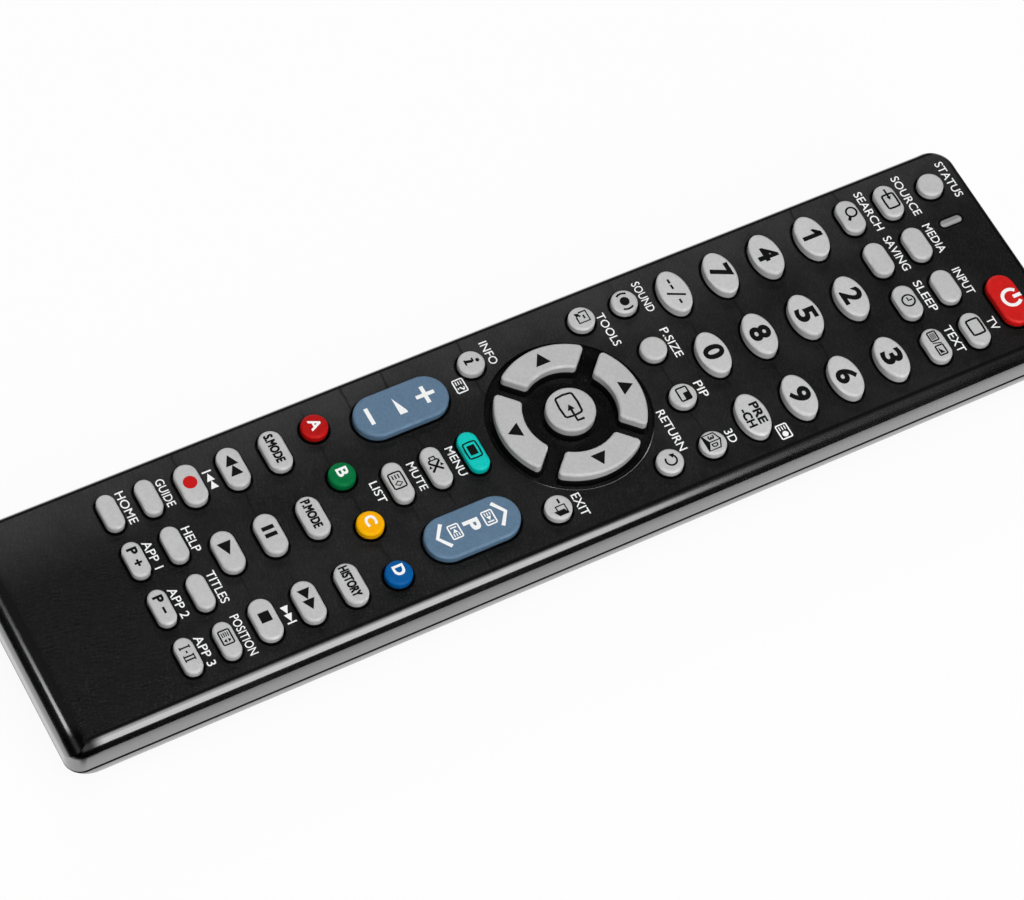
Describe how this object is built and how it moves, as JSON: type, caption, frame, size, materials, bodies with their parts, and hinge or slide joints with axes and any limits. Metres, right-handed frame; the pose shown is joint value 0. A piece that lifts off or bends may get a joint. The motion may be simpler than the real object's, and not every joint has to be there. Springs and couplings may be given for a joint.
{
  "type": "tv remote control",
  "caption": "Slim infra-red remote with numbered, coloured, arrow and rocker keys that press, and a battery door that opens.",
  "frame": {"origin": "middle of the flat back, on the surface that the remote lies on", "axes": "+Y from the foot to the infra-red end, +X to a reader's right, +Z out of the key face"},
  "size_m": [0.0494, 0.2104, 0.0215],
  "materials": {
    "case_black": "black ABS, fine leather grain on the face, glossy shoulders",
    "back_black": "black ABS, fine spark texture, polished rim",
    "key_grey": "satin grey key caps",
    "power_red": "bright red key cap",
    "key_teal": "teal key cap",
    "key_red": "dark red key cap",
    "key_green": "green key cap",
    "key_yellow": "warm yellow key cap",
    "key_blue": "blue key cap",
    "rocker_blue": "steel-blue key caps",
    "mat_rubber": "pale silicone rubber",
    "board_green": "solder mask on laminate",
    "component_black": "moulded components",
    "lamp_clear": "clear tinted resin",
    "window_dark": "dark infra-red window",
    "window_pale": "pale light pipe",
    "cell_wrap": "plain cell sleeve",
    "contact_metal": "nickel-plated steel"
  },
  "bodies": {
    "case": {"top_cover": "case_black", "bottom_cover": "back_black", "keymat": "mat_rubber", "circuit_board": "board_green", "board_components": "component_black", "ir_led": "lamp_clear", "ir_window": "window_dark", "indicator_window": "window_pale", "batteries": "cell_wrap", "battery_contacts": "contact_metal"},
    "battery_door": {"battery_door": "back_black"},
    "source_row_keys": {"source_row_keys": "key_grey"},
    "search_row_keys": {"search_row_keys": "key_grey"},
    "guide_row_keys": {"guide_row_keys": "key_grey"},
    "last_row_keys": {"last_row_keys": "key_grey"},
    "number_1": {"number_1": "key_grey"},
    "number_2": {"number_2": "key_grey"},
    "number_3": {"number_3": "key_grey"},
    "number_4": {"number_4": "key_grey"},
    "number_5": {"number_5": "key_grey"},
    "number_6": {"number_6": "key_grey"},
    "number_7": {"number_7": "key_grey"},
    "number_8": {"number_8": "key_grey"},
    "number_9": {"number_9": "key_grey"},
    "dash_key": {"dash_key": "key_grey"},
    "number_0": {"number_0": "key_grey"},
    "previous_key": {"previous_key": "key_grey"},
    "status_key": {"status_key": "key_grey"},
    "sound_key": {"sound_key": "key_grey"},
    "size_key": {"size_key": "key_grey"},
    "inset_key": {"inset_key": "key_grey"},
    "depth_key": {"depth_key": "key_grey"},
    "tools_key": {"tools_key": "key_grey"},
    "return_key": {"return_key": "key_grey"},
    "info_key": {"info_key": "key_grey"},
    "exit_key": {"exit_key": "key_grey"},
    "up_key": {"up_key": "key_grey"},
    "left_key": {"left_key": "key_grey"},
    "down_key": {"down_key": "key_grey"},
    "right_key": {"right_key": "key_grey"},
    "sound_mode_key": {"sound_mode_key": "key_grey"},
    "picture_mode_key": {"picture_mode_key": "key_grey"},
    "history_key": {"history_key": "key_grey"},
    "rewind_key": {"rewind_key": "key_grey"},
    "pause_key": {"pause_key": "key_grey"},
    "forward_key": {"forward_key": "key_grey"},
    "record_key": {"record_key": "key_grey"},
    "play_key": {"play_key": "key_grey"},
    "stop_key": {"stop_key": "key_grey"},
    "enter_key": {"enter_key": "key_grey"},
    "mute_key": {"mute_key": "key_grey"},
    "list_key": {"list_key": "key_grey"},
    "power_key": {"power_key": "power_red"},
    "menu_key": {"menu_key": "key_teal"},
    "key_a": {"key_a": "key_red"},
    "key_b": {"key_b": "key_green"},
    "key_c": {"key_c": "key_yellow"},
    "key_d": {"key_d": "key_blue"},
    "volume_rocker": {"volume_rocker": "rocker_blue"},
    "channel_rocker": {"channel_rocker": "rocker_blue"}
  },
  "joints": [
    {"name": "battery_door_hinge", "type": "hinge", "parent": "case", "child": "battery_door", "pos_m": [0, -0.08145, 0], "axis": [-1, 0, 0], "range_deg": [0, 70]},
    {"name": "source_row_keys_press", "type": "slide", "parent": "case", "child": "source_row_keys", "axis": [0, 0, -1], "range_m": [0, 0.001], "stiffness_N_per_m": 700},
    {"name": "search_row_keys_press", "type": "slide", "parent": "case", "child": "search_row_keys", "axis": [0, 0, -1], "range_m": [0, 0.001], "stiffness_N_per_m": 700},
    {"name": "guide_row_keys_press", "type": "slide", "parent": "case", "child": "guide_row_keys", "axis": [0, 0, -1], "range_m": [0, 0.001], "stiffness_N_per_m": 700},
    {"name": "last_row_keys_press", "type": "slide", "parent": "case", "child": "last_row_keys", "axis": [0, 0, -1], "range_m": [0, 0.001], "stiffness_N_per_m": 700},
    {"name": "number_1_press", "type": "slide", "parent": "case", "child": "number_1", "axis": [0, 0, -1], "range_m": [0, 0.001], "stiffness_N_per_m": 700},
    {"name": "number_2_press", "type": "slide", "parent": "case", "child": "number_2", "axis": [0, 0, -1], "range_m": [0, 0.001], "stiffness_N_per_m": 700},
    {"name": "number_3_press", "type": "slide", "parent": "case", "child": "number_3", "axis": [0, 0, -1], "range_m": [0, 0.001], "stiffness_N_per_m": 700},
    {"name": "number_4_press", "type": "slide", "parent": "case", "child": "number_4", "axis": [0, 0, -1], "range_m": [0, 0.001], "stiffness_N_per_m": 700},
    {"name": "number_5_press", "type": "slide", "parent": "case", "child": "number_5", "axis": [0, 0, -1], "range_m": [0, 0.001], "stiffness_N_per_m": 700},
    {"name": "number_6_press", "type": "slide", "parent": "case", "child": "number_6", "axis": [0, 0, -1], "range_m": [0, 0.001], "stiffness_N_per_m": 700},
    {"name": "number_7_press", "type": "slide", "parent": "case", "child": "number_7", "axis": [0, 0, -1], "range_m": [0, 0.001], "stiffness_N_per_m": 700},
    {"name": "number_8_press", "type": "slide", "parent": "case", "child": "number_8", "axis": [0, 0, -1], "range_m": [0, 0.001], "stiffness_N_per_m": 700},
    {"name": "number_9_press", "type": "slide", "parent": "case", "child": "number_9", "axis": [0, 0, -1], "range_m": [0, 0.001], "stiffness_N_per_m": 700},
    {"name": "dash_key_press", "type": "slide", "parent": "case", "child": "dash_key", "axis": [0, 0, -1], "range_m": [0, 0.001], "stiffness_N_per_m": 700},
    {"name": "number_0_press", "type": "slide", "parent": "case", "child": "number_0", "axis": [0, 0, -1], "range_m": [0, 0.001], "stiffness_N_per_m": 700},
    {"name": "previous_key_press", "type": "slide", "parent": "case", "child": "previous_key", "axis": [0, 0, -1], "range_m": [0, 0.001], "stiffness_N_per_m": 700},
    {"name": "status_key_press", "type": "slide", "parent": "case", "child": "status_key", "axis": [0, 0, -1], "range_m": [0, 0.001], "stiffness_N_per_m": 700},
    {"name": "sound_key_press", "type": "slide", "parent": "case", "child": "sound_key", "axis": [0, 0, -1], "range_m": [0, 0.001], "stiffness_N_per_m": 700},
    {"name": "size_key_press", "type": "slide", "parent": "case", "child": "size_key", "axis": [0, 0, -1], "range_m": [0, 0.001], "stiffness_N_per_m": 700},
    {"name": "inset_key_press", "type": "slide", "parent": "case", "child": "inset_key", "axis": [0, 0, -1], "range_m": [0, 0.001], "stiffness_N_per_m": 700},
    {"name": "depth_key_press", "type": "slide", "parent": "case", "child": "depth_key", "axis": [0, 0, -1], "range_m": [0, 0.001], "stiffness_N_per_m": 700},
    {"name": "tools_key_press", "type": "slide", "parent": "case", "child": "tools_key", "axis": [0, 0, -1], "range_m": [0, 0.001], "stiffness_N_per_m": 700},
    {"name": "return_key_press", "type": "slide", "parent": "case", "child": "return_key", "axis": [0, 0, -1], "range_m": [0, 0.001], "stiffness_N_per_m": 700},
    {"name": "info_key_press", "type": "slide", "parent": "case", "child": "info_key", "axis": [0, 0, -1], "range_m": [0, 0.001], "stiffness_N_per_m": 700},
    {"name": "exit_key_press", "type": "slide", "parent": "case", "child": "exit_key", "axis": [0, 0, -1], "range_m": [0, 0.001], "stiffness_N_per_m": 700},
    {"name": "up_key_press", "type": "slide", "parent": "case", "child": "up_key", "axis": [0, 0, -1], "range_m": [0, 0.001], "stiffness_N_per_m": 700},
    {"name": "left_key_press", "type": "slide", "parent": "case", "child": "left_key", "axis": [0, 0, -1], "range_m": [0, 0.001], "stiffness_N_per_m": 700},
    {"name": "down_key_press", "type": "slide", "parent": "case", "child": "down_key", "axis": [0, 0, -1], "range_m": [0, 0.001], "stiffness_N_per_m": 700},
    {"name": "right_key_press", "type": "slide", "parent": "case", "child": "right_key", "axis": [0, 0, -1], "range_m": [0, 0.001], "stiffness_N_per_m": 700},
    {"name": "sound_mode_key_press", "type": "slide", "parent": "case", "child": "sound_mode_key", "axis": [0, 0, -1], "range_m": [0, 0.001], "stiffness_N_per_m": 700},
    {"name": "picture_mode_key_press", "type": "slide", "parent": "case", "child": "picture_mode_key", "axis": [0, 0, -1], "range_m": [0, 0.001], "stiffness_N_per_m": 700},
    {"name": "history_key_press", "type": "slide", "parent": "case", "child": "history_key", "axis": [0, 0, -1], "range_m": [0, 0.001], "stiffness_N_per_m": 700},
    {"name": "rewind_key_press", "type": "slide", "parent": "case", "child": "rewind_key", "axis": [0, 0, -1], "range_m": [0, 0.001], "stiffness_N_per_m": 700},
    {"name": "pause_key_press", "type": "slide", "parent": "case", "child": "pause_key", "axis": [0, 0, -1], "range_m": [0, 0.001], "stiffness_N_per_m": 700},
    {"name": "forward_key_press", "type": "slide", "parent": "case", "child": "forward_key", "axis": [0, 0, -1], "range_m": [0, 0.001], "stiffness_N_per_m": 700},
    {"name": "record_key_press", "type": "slide", "parent": "case", "child": "record_key", "axis": [0, 0, -1], "range_m": [0, 0.001], "stiffness_N_per_m": 700},
    {"name": "play_key_press", "type": "slide", "parent": "case", "child": "play_key", "axis": [0, 0, -1], "range_m": [0, 0.001], "stiffness_N_per_m": 700},
    {"name": "stop_key_press", "type": "slide", "parent": "case", "child": "stop_key", "axis": [0, 0, -1], "range_m": [0, 0.001], "stiffness_N_per_m": 700},
    {"name": "enter_key_press", "type": "slide", "parent": "case", "child": "enter_key", "axis": [0, 0, -1], "range_m": [0, 0.001], "stiffness_N_per_m": 700},
    {"name": "mute_key_press", "type": "slide", "parent": "case", "child": "mute_key", "axis": [0, 0, -1], "range_m": [0, 0.001], "stiffness_N_per_m": 700},
    {"name": "list_key_press", "type": "slide", "parent": "case", "child": "list_key", "axis": [0, 0, -1], "range_m": [0, 0.001], "stiffness_N_per_m": 700},
    {"name": "power_key_press", "type": "slide", "parent": "case", "child": "power_key", "axis": [0, 0, -1], "range_m": [0, 0.001], "stiffness_N_per_m": 700},
    {"name": "menu_key_press", "type": "slide", "parent": "case", "child": "menu_key", "axis": [0, 0, -1], "range_m": [0, 0.001], "stiffness_N_per_m": 700},
    {"name": "key_a_press", "type": "slide", "parent": "case", "child": "key_a", "axis": [0, 0, -1], "range_m": [0, 0.001], "stiffness_N_per_m": 700},
    {"name": "key_b_press", "type": "slide", "parent": "case", "child": "key_b", "axis": [0, 0, -1], "range_m": [0, 0.001], "stiffness_N_per_m": 700},
    {"name": "key_c_press", "type": "slide", "parent": "case", "child": "key_c", "axis": [0, 0, -1], "range_m": [0, 0.001], "stiffness_N_per_m": 700},
    {"name": "key_d_press", "type": "slide", "parent": "case", "child": "key_d", "axis": [0, 0, -1], "range_m": [0, 0.001], "stiffness_N_per_m": 700},
    {"name": "volume_rocker_tilt", "type": "hinge", "parent": "case", "child": "volume_rocker", "pos_m": [-0.0141, -0.02064, 0.0168], "axis": [1, 0, 0], "range_deg": [-3.5, 3.5], "stiffness_Nm_per_rad": 0.1},
    {"name": "channel_rocker_tilt", "type": "hinge", "parent": "case", "child": "channel_rocker", "pos_m": [0.0141, -0.02064, 0.0168], "axis": [1, 0, 0], "range_deg": [-3.5, 3.5], "stiffness_Nm_per_rad": 0.1}
  ]
}
